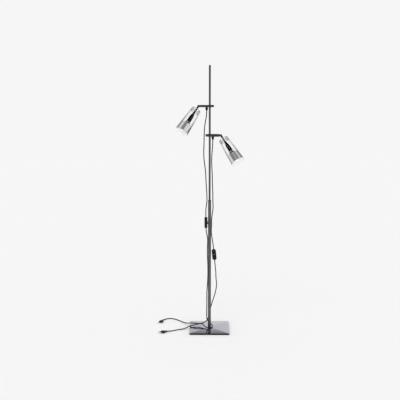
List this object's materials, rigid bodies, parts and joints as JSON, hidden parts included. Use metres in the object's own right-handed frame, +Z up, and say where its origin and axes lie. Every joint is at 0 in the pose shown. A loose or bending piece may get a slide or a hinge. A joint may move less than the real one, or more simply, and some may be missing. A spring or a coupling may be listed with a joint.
{
  "type": "floor lamp",
  "caption": "Free-standing floor lamp: square polished base, slim stepped pole, sliding round brackets with swivelling spots in clear glass and metal shades, each with its own lead.",
  "frame": {"origin": "on the floor under the middle of the base plate", "axes": "+Z up along the pole, -Y towards the front, the upper lamp points to -X and the lower to +X"},
  "size_m": [0.5288, 0.3146, 1.614],
  "materials": {
    "polished_steel": "polished",
    "pad": "matt",
    "pole_steel": "satin",
    "disc_steel": "satin",
    "zinc_steel": "plain",
    "nylon": "matt",
    "black_rubber": "matt",
    "black_bakelite": "satin",
    "ceramic": "glazed",
    "brass": "plain",
    "nickel": "plain",
    "bulb_glass": "frosted",
    "shade_glass": "clear",
    "band_metal": "polished",
    "lead_pvc": "satin",
    "switch_plastic": "satin",
    "rocker_plastic": "gloss"
  },
  "bodies": {
    "root": {"base_plate": "polished_steel", "base_pad": "pad", "pole_bolt": "zinc_steel", "bolt_washer": "zinc_steel", "foot_plug": "zinc_steel", "lower_tube": "pole_steel", "tube_ferrule": "pole_steel", "upper_rod": "pole_steel", "top_cap": "pole_steel", "upper_cord_hanging": "lead_pvc", "upper_cord_floor": "lead_pvc", "upper_switch_base": "switch_plastic", "upper_switch_cover": "switch_plastic", "upper_plug_body": "lead_pvc", "upper_plug_pins": "nickel", "lower_cord_hanging": "lead_pvc", "lower_cord_floor": "lead_pvc", "lower_switch_base": "switch_plastic", "lower_switch_cover": "switch_plastic", "lower_plug_body": "lead_pvc", "lower_plug_pins": "nickel"},
    "upper_bush": {"upper_slide_bush": "nylon"},
    "upper_bracket": {"upper_disc_shell": "disc_steel", "upper_disc_cover": "disc_steel", "upper_cover_screws": "zinc_steel", "upper_cord_grip": "black_rubber", "upper_terminal_block": "nylon"},
    "upper_head": {"upper_stem_elbow": "disc_steel", "upper_elbow_nut": "brass", "upper_stem_tube": "pole_steel", "upper_holder_cap": "black_bakelite", "upper_holder_body": "black_bakelite", "upper_holder_ring": "black_bakelite", "upper_holder_insert": "ceramic", "upper_bulb_base": "nickel", "upper_bulb_glass": "bulb_glass", "upper_shade_carrier": "zinc_steel", "upper_shade_glass": "shade_glass", "upper_shade_band": "band_metal"},
    "upper_rocker": {"upper_switch_rocker": "rocker_plastic"},
    "lower_bush": {"lower_slide_bush": "nylon"},
    "lower_bracket": {"lower_disc_shell": "disc_steel", "lower_disc_cover": "disc_steel", "lower_cover_screws": "zinc_steel", "lower_cord_grip": "black_rubber", "lower_terminal_block": "nylon"},
    "lower_head": {"lower_stem_elbow": "disc_steel", "lower_elbow_nut": "brass", "lower_stem_tube": "pole_steel", "lower_holder_cap": "black_bakelite", "lower_holder_body": "black_bakelite", "lower_holder_ring": "black_bakelite", "lower_holder_insert": "ceramic", "lower_bulb_base": "nickel", "lower_bulb_glass": "bulb_glass", "lower_shade_carrier": "zinc_steel", "lower_shade_glass": "shade_glass", "lower_shade_band": "band_metal"},
    "lower_rocker": {"lower_switch_rocker": "rocker_plastic"}
  },
  "joints": [
    {"name": "upper_slide", "type": "slide", "parent": "root", "child": "upper_bush", "axis": [0, 0, 1], "range_m": [-0.05, 0.2], "deforming": ["upper_cord_hanging"]},
    {"name": "upper_swivel", "type": "hinge", "parent": "upper_bush", "child": "upper_bracket", "pos_m": [0, 0, 1.374], "axis": [0, 0, 1], "range_deg": [-30, 30]},
    {"name": "upper_roll", "type": "hinge", "parent": "upper_bracket", "child": "upper_head", "pos_m": [-0.0665, 0, 1.374], "axis": [-1, 0, 0], "range_deg": [-190, 130]},
    {"name": "lower_slide", "type": "slide", "parent": "root", "child": "lower_bush", "axis": [0, 0, 1], "range_m": [-0.12, 0.03], "deforming": ["lower_cord_hanging"]},
    {"name": "lower_swivel", "type": "hinge", "parent": "lower_bush", "child": "lower_bracket", "pos_m": [0, 0, 1.2005], "axis": [0, 0, 1], "range_deg": [-30, 30]},
    {"name": "lower_roll", "type": "hinge", "parent": "lower_bracket", "child": "lower_head", "pos_m": [0.0665, 0, 1.2005], "axis": [1, 0, 0], "range_deg": [-130, 190]},
    {"name": "upper_rocker_tilt", "type": "hinge", "parent": "root", "child": "upper_rocker", "pos_m": [-0.01635, -0.016, 0.67402], "axis": [0, 1, 0], "range_deg": [0, 12]},
    {"name": "lower_rocker_tilt", "type": "hinge", "parent": "root", "child": "lower_rocker", "pos_m": [0.02825, -0.01975, 0.4755], "axis": [0.9951, 0, 0.0986], "range_deg": [0, 12]}
  ]
}
